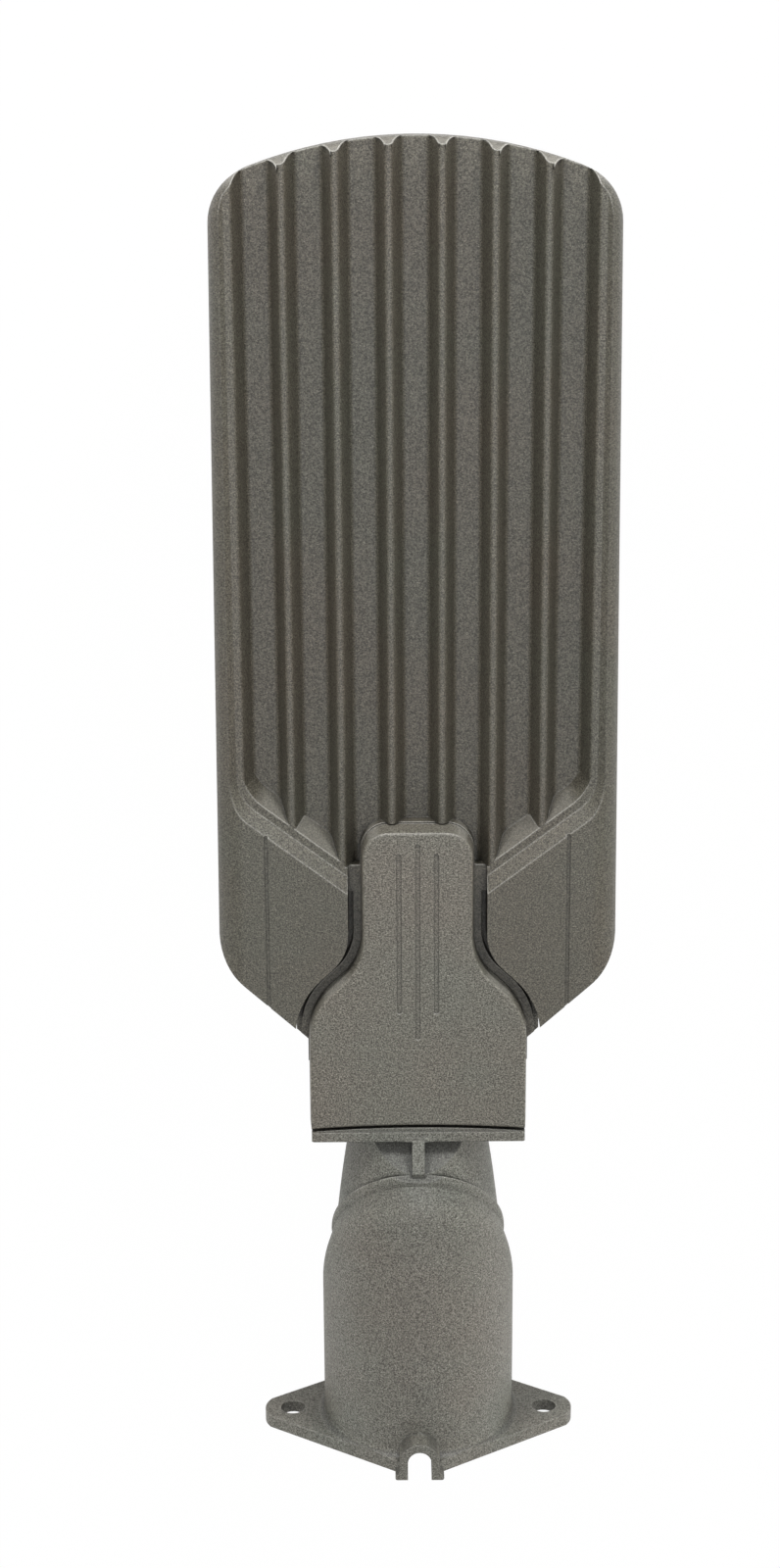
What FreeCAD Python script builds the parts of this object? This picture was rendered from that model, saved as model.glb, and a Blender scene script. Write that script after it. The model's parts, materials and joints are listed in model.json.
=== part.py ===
import FreeCAD
import Part
import math
import os

# LED street light head, in the pose of use. Millimetres, +Z up, light shining down.
# The origin is the centre of the pole socket's mouth, +Y runs to the nose, +X is across.

# Pole socket and its bracket
BORE_R = 31.0
SLEEVE_WALL = 4.0
BORE_DEPTH = 58.0
SHOULDER_Y = 63.5
SHOULDER_BLEND = 6.0
BEAD_R = 31.3
BEAD_START_Y = 75.5
BEAD_END_Y = 80.0
BEAD_SWELL = 0.3
BEAD_SET_IN = 0.2
NECK_STEP = 1.6
NECK_MID_R = 27.3
NECK_MID_Y = 101.0
NECK_END_R = 22.6
HOOD_SLOPE = 1.1
NECK_WALL = 4.6
NECK_RIB_WIDTH = 4.4
NECK_RIB_HEIGHT = 1.4
NECK_POCKET_HALF = 19.0
NECK_POCKET_FLOOR = 21.5
NECK_POCKET_RUN = 14.0
PLATE_Y = 125.2
PLATE_THICK = 3.5
PLATE_HALF_HEIGHT = 27.5
PLATE_CORNER_R = 3.0
PLATE_EDGE_R = 1.0
PLATE_CROWN = 1.4
LIP_GAP = 1.0

# Eared flange and lead notch at the socket's mouth
FLANGE_THICK = 4.5
FLANGE_ROOT_R = 3.0
EAR_SPACING = 94.0
EAR_HOLE_R = 4.5
EAR_R = 10.3
FLANGE_APEX = 43.0
FLANGE_FOOT_R = 22.0
NOTCH_R = 4.25
NOTCH_DEPTH = 11.0
NOTCH_WALL = 3.0
SET_SCREWS_AT = (0.35, 0.8)
FOOT_FLARE = 2.6
FOOT_LENGTH = 3.0
FOOT_R = 0.9

# Head outline, seen from above
NOSE_Y = 466.4
NOSE_ARC_R = 155.0
NOSE_CORNER_R = 18.5
NOSE_HALF_WIDTH = 66.7
NOSE_CORNER_LENGTH = 28.4
TAIL_HALF_WIDTH = 69.0
TAIL_SIDE_Y = 190.0
TAIL_CORNER_R = 24.0
TAIL_ANGLE = 42.0
TAIL_NARROW = 20.0
TAIL_SHELF = 2.4
TAIL_FOOT = 4.6

# Head levels
WING_TOP_Z = 23.0
ROLL_R = 10.0
HEAD_BOTTOM_Z = -8.0
FIN_TOP_Z = 19.5
VALLEY_DEPTH = 8.0
BASE_THICK = 5.0

# Cooling fins
VALLEY_COUNT = 7
FIN_PITCH = 17.1
FIN_TOP_WIDTH = 2.3
FLANK_DRAFT = 20.5
END_DRAFT = 28.0
FIN_ROOT_R = 2.0
FIN_EDGE_R = 1.3
FIN_FLARE_R = 3.2

# Raised wings behind the fins
FIELD_HALF_WIDTH = 61.2
CHEVRON_Y = 202.6
CHEVRON_ANGLE = 37.2
CHEVRON_CORNER_R = 15.0
BEVEL_ANGLE = 38.0
LEDGE_LENGTH = 3.4
OPEN_VALLEYS = 3
WING_OVERSHOOT = 4.0
VALLEY_CORNER_R = 9.0
CREASE_X = 51.6
CREASE_WIDTH = 1.3
CREASE_DEPTH = 0.5
CREASE_START_Y = 160.0
CREASE_END_Y = 236.5

# Gear compartment, bottle-shaped in plan
NECK_HALF = 18.7
BODY_HALF = 37.4
SHOULDER_MID_Y = 181.8
SHOULDER_ANGLE = 47.0
SHOULDER_R = 22.5
COVER_NOSE_Y = 238.4
COVER_NOSE_R = 9.0
TAIL_WALL = 4.5
GEAR_WALL = 4.0
GEAR_BOTTOM_Z = -27.0
GEAR_FLOOR = 3.5
GEAR_EDGE_R = 4.0
PAD_Z = 16.8
COVER_GAP = 0.3
PAD_TAIL = 30.0
CHANNEL_WIDTH = 5.2
CHANNEL_END_Y = 214.5
CHANNEL_GROOVE_WIDTH = 1.7
LAND_END_Y = 224.0

# Gear cover
COVER_TOP_Z = 27.0
COVER_WALL = 3.0
COVER_SIDE_WALL = 3.5
COVER_DRAFT = 0.7
COVER_EDGE_R = 0.9
GROOVE_SPACING = 6.4
GROOVE_WIDTH = 1.7
GROOVE_DEPTH = 0.5
GROOVE_MID_Y = (163.4, 234.5)
GROOVE_SIDE_Y = (173.0, 231.0)

# Seals
GASKET_THICK = 1.0
GASKET_MARGIN = 0.8
GASKET_WIDTH = 2.4
BRACKET_SEAL_LOW = 2.0
BRACKET_SEAL_TOP = 1.0
BRACKET_SEAL_R = 2.0
BRACKET_SEAL_BORE = 15.0
LENS_SEAL_MARGIN = 0.4

# Light chamber under the fins
LIP_WALL = 5.5
CHAMBER_REAR_Y = 256.0
CHAMBER_CORNER_R = 10.0
SEAT_WIDTH = 6.0
SEAT_Z = 2.0
LENS_PLATE = 3.0
LENS_GAP = 0.6
LENS_DOME_R = 5.6
LENS_DOME_HEIGHT = 3.6
LENS_POCKET_R = 3.4
LENS_POCKET_DEPTH = 1.6
DOME_ROOT = 0.5
LENS_SCREW_ROWS = 4
LED_COLUMNS = 6
LED_ROWS = 10
LED_PITCH_X = 16.0
LED_NOSE_MARGIN = 31.1
LED_REAR_MARGIN = 22.7
LED_SIZE = 3.5
LED_HEIGHT = 1.2
BOARD_THICK = 1.6
BOARD_GAP = 1.5
PAD_THICK = 0.5
PAD_SET_IN = 1.0
CONNECTOR_SIZE = (10.0, 5.0, 2.2)

# Screws: radius of shank, radius and height of head
M3 = (1.5, 2.8, 1.8)
M4 = (2.0, 3.6, 2.6)
M6 = (3.0, 5.0, 4.0)
M8_R = 4.0
HOLE_CLEARANCE = 0.25
SOCKET_SHARE = 0.6
SCREW_SHORT = 0.5
TOWER_R = 4.6
TOWER_BACK = 17.0
TOWER_MERGE = 1.5
BOLT_X = 27.0
BOLT_TOP_Z = 10.0
BOLT_LOW_Z = -18.0

# Inside the gear compartment
DRIVER_SIZE = (23.0, 60.0, 20.0)
DRIVER_START_Y = 152.0
DRIVER_FOOT = 9.0
DRIVER_FOOT_WIDTH = 11.0
DRIVER_FOOT_THICK = 1.5
DRIVER_SCREW_DEPTH = 2.1
CASE_EDGE_R = 1.5
BLOCK_SIZE = (15.0, 19.0, 15.0)
BLOCK_X = 22.5
BLOCK_START_Y = 140.0
TERMINAL_COUNT = 3
TERMINAL_SET_IN = 4.0
TERMINAL_DEPTH = 6.0
TERMINAL_SINK = 1.0
SLOT_HALF = 0.3
SLOT_DEPTH = 0.6
SURGE_SIZE = (13.0, 19.0, 24.0)
FIT_GAP = 0.3
CABLE_HOLE_R = 8.0
CABLE_R = 4.5
CABLE_Z = 3.0
GROMMET_RIM = 2.5
GROMMET_RIM_THICK = 2.0
VENT_R = 5.0
VENT_HEAD_R = 8.0
VENT_HEAD = 3.0
VENT_X = 19.5
VENT_Y = 173.5
CLAMP_Y = 140.5
CLAMP_WIDTH = 7.0
CLAMP_STRAP = 2.0
CLAMP_POST_X = 9.5
CLAMP_POST_R = 3.6
CLAMP_SCREW_DEPTH = 6.0
EARTH_X = -19.5
EARTH_Y = 172.0
EARTH_BOSS = 6.0
EARTH_BOSS_R = 5.0
EARTH_WASHER_R = 4.4
EARTH_WASHER = 1.0

SLEEVE_R = BORE_R + SLEEVE_WALL
NOSE_SIDE_Y = NOSE_Y - NOSE_CORNER_LENGTH
LED_FIRST_Y = CHAMBER_REAR_Y + LED_REAR_MARGIN
LED_LAST_Y = NOSE_Y - LED_NOSE_MARGIN
LED_PITCH_Y = (LED_LAST_Y - LED_FIRST_Y) / (LED_ROWS - 1)
LED_MID_Y = (LED_FIRST_Y + LED_LAST_Y) / 2
VALLEY_Z = FIN_TOP_Z - VALLEY_DEPTH
BASE_Z = VALLEY_Z - BASE_THICK
TAIL_END_Y = PLATE_Y + PLATE_THICK + GASKET_THICK
COVER_Z = PAD_Z + GASKET_THICK
PAD_MARGIN = COVER_DRAFT + COVER_GAP
GEAR_FLOOR_Z = GEAR_BOTTOM_Z + GEAR_FLOOR
FAR = 200.0


def vec(x, y, z=0.0):
    return FreeCAD.Vector(x, y, z)


def tan(degrees):
    return math.tan(math.radians(degrees))


# A closed outline from corners (x, y, radius), with each corner rounded by its radius
def outline_edges(corners):
    starts, ends, edges = [], [], []
    for i, (x, y, r) in enumerate(corners):
        here = vec(x, y)
        before = vec(*corners[i - 1][:2]) - here
        after = vec(*corners[(i + 1) % len(corners)][:2]) - here
        before.normalize()
        after.normalize()
        if r <= 0:
            starts.append(here)
            ends.append(here)
            edges.append(None)
            continue
        half = before.getAngle(after) / 2
        reach = r / math.tan(half)
        first, last = here + before * reach, here + after * reach
        bisector = before + after
        bisector.normalize()
        middle = here + bisector * (r / math.sin(half) - r)
        starts.append(first)
        ends.append(last)
        edges.append(Part.Arc(first, middle, last).toShape())
    result = []
    for i, arc in enumerate(edges):
        if arc is not None:
            result.append(arc)
        following = starts[(i + 1) % len(corners)]
        if (following - ends[i]).Length > 1e-6:
            result.append(Part.makeLine(ends[i], following))
    return result


def outline(corners, z=0.0):
    wire = Part.Wire(outline_edges(corners))
    wire.translate(vec(0, 0, z))
    return wire


# A plan outline raised from z0 to z1
def prism(corners, z0, z1):
    return Part.Face(outline(corners, z0)).extrude(vec(0, 0, z1 - z0))


# An outline in the X-Z plane, carried along Y
def prism_y(corners, y0, y1):
    face = Part.Face(outline(corners))
    face.rotate(vec(0, 0), vec(1, 0), 90)
    face.translate(vec(0, y0))
    return face.extrude(vec(0, y1 - y0))


def loft(lower, upper):
    return Part.makeLoft([lower, upper], True, True)


def box(x0, x1, y0, y1, z0, z1):
    return Part.makeBox(x1 - x0, y1 - y0, z1 - z0, vec(x0, y0, z0))


def cylinder_z(r, x, y, z0, z1):
    return Part.makeCylinder(r, z1 - z0, vec(x, y, z0))


def cylinder_y(r, x, z, y0, y1):
    return Part.makeCylinder(r, y1 - y0, vec(x, y0, z), vec(0, 1, 0))


def mirrored(shape):
    return shape.mirror(vec(0, 0), vec(1, 0))


def both_sides(corners):
    return corners + [(-x, y, r) for x, y, r in reversed(corners)]


# The bottle shape of the gear compartment, grown by an offset all round
def bottle(offset=0.0, rear_y=None):
    rear = TAIL_END_Y - offset if rear_y is None else rear_y
    run = (BODY_HALF - NECK_HALF) / 2 / tan(SHOULDER_ANGLE)
    shift = offset * tan(SHOULDER_ANGLE / 2)
    wide, narrow = BODY_HALF + offset, NECK_HALF + offset
    return both_sides([
        (wide, rear, 0),
        (wide, SHOULDER_MID_Y - run + shift, SHOULDER_R + offset),
        (narrow, SHOULDER_MID_Y + run + shift, SHOULDER_R - offset),
        (narrow, COVER_NOSE_Y + offset, COVER_NOSE_R + offset),
    ])


# The head's outline from above, with its slanted tail, or with straight sides past the tail
def head_block(straight):
    taper = (TAIL_HALF_WIDTH - NOSE_HALF_WIDTH) / (NOSE_SIDE_Y - TAIL_SIDE_Y)
    mid_y = NOSE_Y - NOSE_ARC_R
    half = NOSE_HALF_WIDTH - taper * (NOSE_Y - NOSE_SIDE_Y)
    side_y = mid_y + math.sqrt(NOSE_ARC_R ** 2 - half ** 2)
    side_x = TAIL_HALF_WIDTH - taper * (side_y - TAIL_SIDE_Y)
    right = [vec(side_x, side_y)]
    if straight:
        right.append(vec(TAIL_HALF_WIDTH + taper * TAIL_SIDE_Y, 0))
    else:
        run = TAIL_SIDE_Y - (TAIL_HALF_WIDTH - TAIL_NARROW) * tan(TAIL_ANGLE)
        right += [vec(TAIL_HALF_WIDTH, TAIL_SIDE_Y), vec(TAIL_NARROW, run)]
    path = right + [vec(-p.x, p.y) for p in reversed(right)]
    edges = [Part.makeLine(a, b) for a, b in zip(path, path[1:])]
    edges.append(Part.Arc(path[-1], vec(0, NOSE_Y), path[0]).toShape())
    face = Part.Face(Part.Wire(edges))
    face.translate(vec(0, 0, HEAD_BOTTOM_Z))
    block = face.extrude(vec(0, 0, WING_TOP_Z - HEAD_BOTTOM_Z))
    return block.makeFillet(NOSE_CORNER_R, [e for e in block.Edges if is_upright(e, NOSE_SIDE_Y, NOSE_Y)])


def is_upright(edge, y0, y1):
    ends = edge.Vertexes
    if len(ends) != 2 or abs(ends[0].X - ends[1].X) > 1e-4 or abs(ends[0].Y - ends[1].Y) > 1e-4:
        return False
    return y0 < ends[0].Y < y1


def edges_at(shape, z):
    return [e for e in shape.Edges if all(abs(v.Z - z) < 1e-4 for v in e.Vertexes)
            and abs(e.BoundBox.ZMax - z) < 1e-3 and abs(e.BoundBox.ZMin - z) < 1e-3]


def is_rear(edge):
    return all(abs(v.Y) < 1e-4 for v in edge.Vertexes)


# The head as a slab rolled over along its sides and nose, then cut to its plan, plain at the tail
def head_slab():
    rolled = head_block(True)
    rolled = rolled.makeFillet(ROLL_R, [e for e in edges_at(rolled, WING_TOP_Z) if not is_rear(e)])
    plan = head_block(False)
    tail = [e for e in plan.Edges if is_upright(e, TAIL_SIDE_Y - 1, TAIL_SIDE_Y + 1)]
    return rolled.common(plan.makeFillet(TAIL_CORNER_R, tail))


def chevron_y(x, start):
    return start + abs(x) * tan(CHEVRON_ANGLE)


# Everything above the ledge and the fins, as one profile carried along the head
def fin_air():
    half_top = (FIN_PITCH - FIN_TOP_WIDTH) / 2
    half_floor = half_top - VALLEY_DEPTH * tan(FLANK_DRAFT)
    profile = [(-FAR / 2, FIN_TOP_Z, 0)]
    for k in range(VALLEY_COUNT):
        mid = (k - (VALLEY_COUNT - 1) / 2) * FIN_PITCH
        profile += [(mid - half_top, FIN_TOP_Z, FIN_EDGE_R), (mid - half_floor, VALLEY_Z, FIN_ROOT_R),
                    (mid + half_floor, VALLEY_Z, FIN_ROOT_R), (mid + half_top, FIN_TOP_Z, FIN_EDGE_R)]
    profile += [(FAR / 2, FIN_TOP_Z, 0), (FAR / 2, FAR, 0), (-FAR / 2, FAR, 0)]
    return prism_y(profile, CHEVRON_Y - FAR / 2, NOSE_Y + FAR / 4)


# Solid behind a V-shaped line whose corner with the side line is rounded, at one height
def behind_chevron(start, side_x, corner_r, z):
    return outline([
        (0, start, 0), (side_x, chevron_y(side_x, start), corner_r), (side_x, NOSE_Y + FAR, 0),
        (FAR, NOSE_Y + FAR, 0), (FAR, 0, 0), (0, 0, 0)], z)


# The raised wings, with their bevelled edge, and the drafted ends of the outer valleys
def wing_masks():
    rise = WING_TOP_Z - FIN_TOP_Z + WING_OVERSHOOT
    back = rise * tan(90 - BEVEL_ANGLE)
    back_y = back / math.cos(math.radians(CHEVRON_ANGLE))
    low = behind_chevron(CHEVRON_Y, FIELD_HALF_WIDTH, CHEVRON_CORNER_R, FIN_TOP_Z)
    high = behind_chevron(CHEVRON_Y - back_y, FIELD_HALF_WIDTH + back, CHEVRON_CORNER_R + back,
                          FIN_TOP_Z + rise)
    wing = loft(low, high)
    drop = FIN_TOP_Z - HEAD_BOTTOM_Z
    draft = drop * tan(FLANK_DRAFT)
    draft_y = drop * tan(END_DRAFT) / math.cos(math.radians(CHEVRON_ANGLE))
    half_top = (FIN_PITCH - FIN_TOP_WIDTH) / 2
    outer_x = (VALLEY_COUNT - 1) / 2 * FIN_PITCH + half_top + FIN_EDGE_R
    start = CHEVRON_Y + LEDGE_LENGTH
    ends = loft(behind_chevron(start + draft_y, outer_x - draft, VALLEY_CORNER_R, FIN_TOP_Z - drop),
                behind_chevron(start, outer_x, VALLEY_CORNER_R + draft, FIN_TOP_Z))
    open_x = OPEN_VALLEYS / 2 * FIN_PITCH
    ends = ends.cut(box(-FAR, open_x, 0, NOSE_Y + FAR, HEAD_BOTTOM_Z - 1, FIN_TOP_Z + 1))
    return [wing, mirrored(wing), ends, mirrored(ends)]


# The rounded corners where the fins flare out at the nose, beside each valley's open end
def fin_flares():
    mid_y = NOSE_Y - NOSE_ARC_R
    half_top = (FIN_PITCH - FIN_TOP_WIDTH) / 2
    flares = []
    for k in range(VALLEY_COUNT):
        for side in (-1, 1):
            wall_x = (k - (VALLEY_COUNT - 1) / 2) * FIN_PITCH + side * half_top
            round_x = wall_x - side * FIN_FLARE_R
            round_y = mid_y + math.sqrt((NOSE_ARC_R - FIN_FLARE_R) ** 2 - round_x ** 2)
            x0, x1 = sorted((round_x, wall_x))
            corner = box(x0, x1, round_y, NOSE_Y + 1, VALLEY_Z - 1, FAR)
            flares.append(corner.cut(cylinder_z(FIN_FLARE_R, round_x, round_y, VALLEY_Z - 2, FAR + 1)))
    return flares


def slot_prism(x, half, y0, y1, z0, z1):
    return prism([(x - half, y0, half), (x + half, y0, half), (x + half, y1, half), (x - half, y1, half)],
                 z0, z1)


# Where the light chamber's sides end and its nose corners start
def chamber_corner_y(inset):
    corner = NOSE_CORNER_R - inset / 2
    reach, across = NOSE_ARC_R - inset - corner, NOSE_HALF_WIDTH - inset - corner
    return NOSE_Y - NOSE_ARC_R + math.sqrt(reach ** 2 - across ** 2)


# Corners of the light chamber under the fins, pulled in from the head's outline
def chamber_outline(inset, z):
    mid_y = NOSE_Y - NOSE_ARC_R
    half = NOSE_HALF_WIDTH - inset
    radius = NOSE_ARC_R - inset
    corner = NOSE_CORNER_R - inset / 2
    corner_y = chamber_corner_y(inset)
    toward = vec(half - corner, corner_y - mid_y)
    toward.normalize()
    on_nose = vec(0, mid_y) + toward * radius
    bend = vec(1, 0) + toward
    bend.normalize()
    middle = vec(half - corner, corner_y) + bend * corner
    rear_y = CHAMBER_REAR_Y + inset - LIP_WALL
    rear_r = CHAMBER_CORNER_R - (inset - LIP_WALL) / 2
    diagonal = rear_r * (1 - math.sqrt(0.5))
    edges = [
        Part.Arc(vec(-on_nose.x, on_nose.y), vec(0, NOSE_Y - inset), on_nose).toShape(),
        Part.Arc(on_nose, middle, vec(half, corner_y)).toShape(),
        Part.makeLine(vec(half, corner_y), vec(half, rear_y + rear_r)),
        Part.Arc(vec(half, rear_y + rear_r), vec(half - diagonal, rear_y + diagonal),
                 vec(half - rear_r, rear_y)).toShape(),
        Part.makeLine(vec(half - rear_r, rear_y), vec(rear_r - half, rear_y)),
        Part.Arc(vec(rear_r - half, rear_y), vec(diagonal - half, rear_y + diagonal),
                 vec(-half, rear_y + rear_r)).toShape(),
        Part.makeLine(vec(-half, rear_y + rear_r), vec(-half, corner_y)),
        Part.Arc(vec(-half, corner_y), vec(-middle.x, middle.y), vec(-on_nose.x, on_nose.y)).toShape(),
    ]
    wire = Part.Wire(edges)
    wire.translate(vec(0, 0, z))
    return wire


def chamber_prism(inset, z0, z1):
    return Part.Face(chamber_outline(inset, z0)).extrude(vec(0, 0, z1 - z0))


# Places of the fasteners
def cover_screw_places():
    inset = GEAR_WALL + TOWER_R - TOWER_MERGE
    side_x = BODY_HALF - inset
    tower_y = SHOULDER_MID_Y - TOWER_BACK
    return [(side_x, tower_y), (-side_x, tower_y), (0, COVER_NOSE_Y - inset)]


def bracket_bolt_places():
    return [(sx * BOLT_X, z) for sx in (-1, 1) for z in (BOLT_TOP_Z, BOLT_LOW_Z)]


def lens_screw_places():
    side_x = NOSE_HALF_WIDTH - LIP_WALL - SEAT_WIDTH / 2
    first = CHAMBER_REAR_Y + CHAMBER_CORNER_R
    last = chamber_corner_y(LIP_WALL + SEAT_WIDTH / 2)
    step = (last - first) / (LENS_SCREW_ROWS - 1)
    places = [(sx * side_x, first + k * step) for k in range(LENS_SCREW_ROWS) for sx in (-1, 1)]
    return places + [(0, NOSE_Y - LIP_WALL - SEAT_WIDTH / 2), (0, CHAMBER_REAR_Y + SEAT_WIDTH / 2)]


def led_places():
    return [((i - (LED_COLUMNS - 1) / 2) * LED_PITCH_X, LED_MID_Y + (j - (LED_ROWS - 1) / 2) * LED_PITCH_Y)
            for i in range(LED_COLUMNS) for j in range(LED_ROWS)]


def board_screw_places():
    return [(sx * LED_PITCH_X * 0.5 * (LED_COLUMNS - 2), LED_MID_Y + k * LED_PITCH_Y * (LED_ROWS - 2) / 2)
            for sx in (-1, 1) for k in (-1, 0, 1)]


def make_housing():
    body = head_slab()
    air = fin_air()
    for mask in wing_masks() + fin_flares():
        air = air.cut(mask)
    open_half = OPEN_VALLEYS / 2 * FIN_PITCH
    air = air.cut(box(-open_half, open_half, 0, LAND_END_Y, HEAD_BOTTOM_Z, FIN_TOP_Z))
    body = body.cut(air)
    body = body.cut(prism(bottle(PAD_MARGIN, 0), PAD_Z, FAR))
    channel = prism(bottle(CHANNEL_WIDTH, 0), PAD_Z, FAR)
    body = body.cut(channel.common(box(-FAR, FAR, -1, LAND_END_Y, PAD_Z, FAR)))
    groove = prism(bottle(CHANNEL_WIDTH, 0), VALLEY_Z, FAR)
    groove = groove.cut(prism(bottle(CHANNEL_WIDTH - CHANNEL_GROOVE_WIDTH, -1), VALLEY_Z - 1, FAR + 1))
    body = body.cut(groove.common(box(-FAR, FAR, -1, CHANNEL_END_Y, VALLEY_Z, FAR)))
    steps = ((TAIL_SHELF, CHANNEL_WIDTH - CHANNEL_GROOVE_WIDTH, PAD_Z), (TAIL_FOOT, CHANNEL_WIDTH, VALLEY_Z))
    for reach, width, top in steps:
        shelf = head_block(False)
        shelf.translate(vec(0, -reach))
        under = prism(bottle(width, 0), HEAD_BOTTOM_Z, top)
        body = body.fuse(shelf.common(under).common(box(-FAR, FAR, 0, TAIL_SIDE_Y, HEAD_BOTTOM_Z, top)))
    for x in (-CREASE_X, CREASE_X):
        body = body.cut(slot_prism(x, CREASE_WIDTH / 2, CREASE_START_Y, CREASE_END_Y,
                                   WING_TOP_Z - CREASE_DEPTH, FAR))

    gear = prism(bottle(0, TAIL_END_Y), GEAR_BOTTOM_Z, PAD_Z)
    gear = gear.makeFillet(GEAR_EDGE_R, edges_at(gear, GEAR_BOTTOM_Z))
    pad = prism(bottle(PAD_MARGIN, TAIL_END_Y), VALLEY_Z - BASE_THICK, PAD_Z)
    beside_tail = box(-FAR, FAR, 0, SHOULDER_MID_Y - PAD_TAIL, VALLEY_Z - BASE_THICK - 1, PAD_Z + 1)
    pad = pad.cut(beside_tail)
    body = body.fuse([gear, pad])

    cavity = prism(bottle(-GEAR_WALL, TAIL_END_Y + TAIL_WALL), GEAR_FLOOR_Z, FAR)
    for x, y in cover_screw_places():
        cavity = cavity.cut(cylinder_z(TOWER_R, x, y, GEAR_FLOOR_Z - 1, PAD_Z))
    for x, y in clamp_screw_places():
        cavity = cavity.cut(cylinder_z(CLAMP_POST_R, x, y, GEAR_FLOOR_Z - 1, CABLE_Z))
    cavity = cavity.cut(cylinder_z(EARTH_BOSS_R, EARTH_X, EARTH_Y, GEAR_FLOOR_Z - 1,
                                   GEAR_FLOOR_Z + EARTH_BOSS))
    body = body.cut(cavity)

    body = body.cut(chamber_prism(LIP_WALL, HEAD_BOTTOM_Z - 1, SEAT_Z))
    body = body.cut(chamber_prism(LIP_WALL + SEAT_WIDTH, HEAD_BOTTOM_Z - 1, BASE_Z))

    r, head_r, head_h = M4
    for x, y in cover_screw_places():
        body = body.cut(cylinder_z(r + HOLE_CLEARANCE, x, y, GEAR_BOTTOM_Z - 1, PAD_Z + 1))
        body = body.cut(cylinder_z(head_r + HOLE_CLEARANCE, x, y, GEAR_BOTTOM_Z - 1,
                                   GEAR_BOTTOM_Z + head_h + HOLE_CLEARANCE))
    for x, z in bracket_bolt_places():
        body = body.cut(cylinder_y(M6[0] + HOLE_CLEARANCE, x, z, TAIL_END_Y - 1, TAIL_END_Y + TAIL_WALL + 1))
    body = body.cut(cylinder_y(CABLE_HOLE_R, 0, CABLE_Z, TAIL_END_Y - 1, TAIL_END_Y + TAIL_WALL + 1))
    for x, y in lens_screw_places():
        body = body.cut(cylinder_z(M3[0], x, y, SEAT_Z - 1, SEAT_Z + BASE_THICK))
    for x, y in board_screw_places():
        body = body.cut(cylinder_z(M3[0], x, y, BASE_Z - 1, BASE_Z + BASE_THICK / 2))
    for x, y in clamp_screw_places():
        body = body.cut(cylinder_z(M3[0], x, y, CABLE_Z - CLAMP_SCREW_DEPTH - 1, CABLE_Z + 1))
    for x, y in driver_screw_places():
        body = body.cut(cylinder_z(M3[0], x, y, GEAR_FLOOR_Z - DRIVER_SCREW_DEPTH - HOLE_CLEARANCE,
                                   GEAR_FLOOR_Z + 1))
    body = body.cut(cylinder_z(M4[0], EARTH_X, EARTH_Y, GEAR_FLOOR_Z, GEAR_FLOOR_Z + EARTH_BOSS + 1))
    body = body.cut(cylinder_z(VENT_R, VENT_X, VENT_Y, GEAR_BOTTOM_Z - 1, GEAR_FLOOR_Z + 1))
    return body.removeSplitter()


# The cover's outline, with its rear edge bowed like the plate's lip
def cover_wire(offset, z, rear_y):
    corners = bottle(offset, rear_y)
    edges = outline_edges(corners)
    rear = min(edges, key=lambda e: e.CenterOfMass.y)
    edges = [e for e in edges if e is not rear]
    half = BODY_HALF + offset
    edges.append(Part.Arc(vec(-half, rear_y), vec(0, rear_y + PLATE_CROWN), vec(half, rear_y)).toShape())
    wire = Part.Wire(Part.__sortEdges__(edges))
    wire.translate(vec(0, 0, z))
    return wire


def cover_rear_y():
    return PLATE_Y + PLATE_THICK + LIP_GAP


def make_gear_cover():
    rear = cover_rear_y()
    cover = loft(cover_wire(COVER_DRAFT, COVER_Z, rear), cover_wire(0, COVER_TOP_Z, rear))
    cover = cover.makeFillet(COVER_EDGE_R, edges_at(cover, COVER_TOP_Z))
    hollow = prism(bottle(-COVER_SIDE_WALL, rear + COVER_WALL + PLATE_CROWN), COVER_Z - 1,
                   COVER_TOP_Z - COVER_WALL)
    for x, y in cover_screw_places():
        hollow = hollow.cut(cylinder_z(TOWER_R, x, y, COVER_Z - 2, COVER_TOP_Z))
    cover = cover.cut(hollow)
    for x, y in cover_screw_places():
        cover = cover.cut(cylinder_z(M4[0], x, y, COVER_Z - 1, COVER_TOP_Z - COVER_WALL))
    for k in (-1, 0, 1):
        y0, y1 = GROOVE_SIDE_Y if k else GROOVE_MID_Y
        cover = cover.cut(slot_prism(k * GROOVE_SPACING, GROOVE_WIDTH / 2, y0, y1,
                                     COVER_TOP_Z - GROOVE_DEPTH, FAR))
    return cover


def make_cover_gasket():
    rear = TAIL_END_Y + GASKET_MARGIN
    outer = prism(bottle(-GASKET_MARGIN, rear), PAD_Z, COVER_Z)
    inner = prism(bottle(-GASKET_MARGIN - GASKET_WIDTH, rear + GASKET_WIDTH), PAD_Z - 1, COVER_Z + 1)
    return outer.cut(inner)


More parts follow.
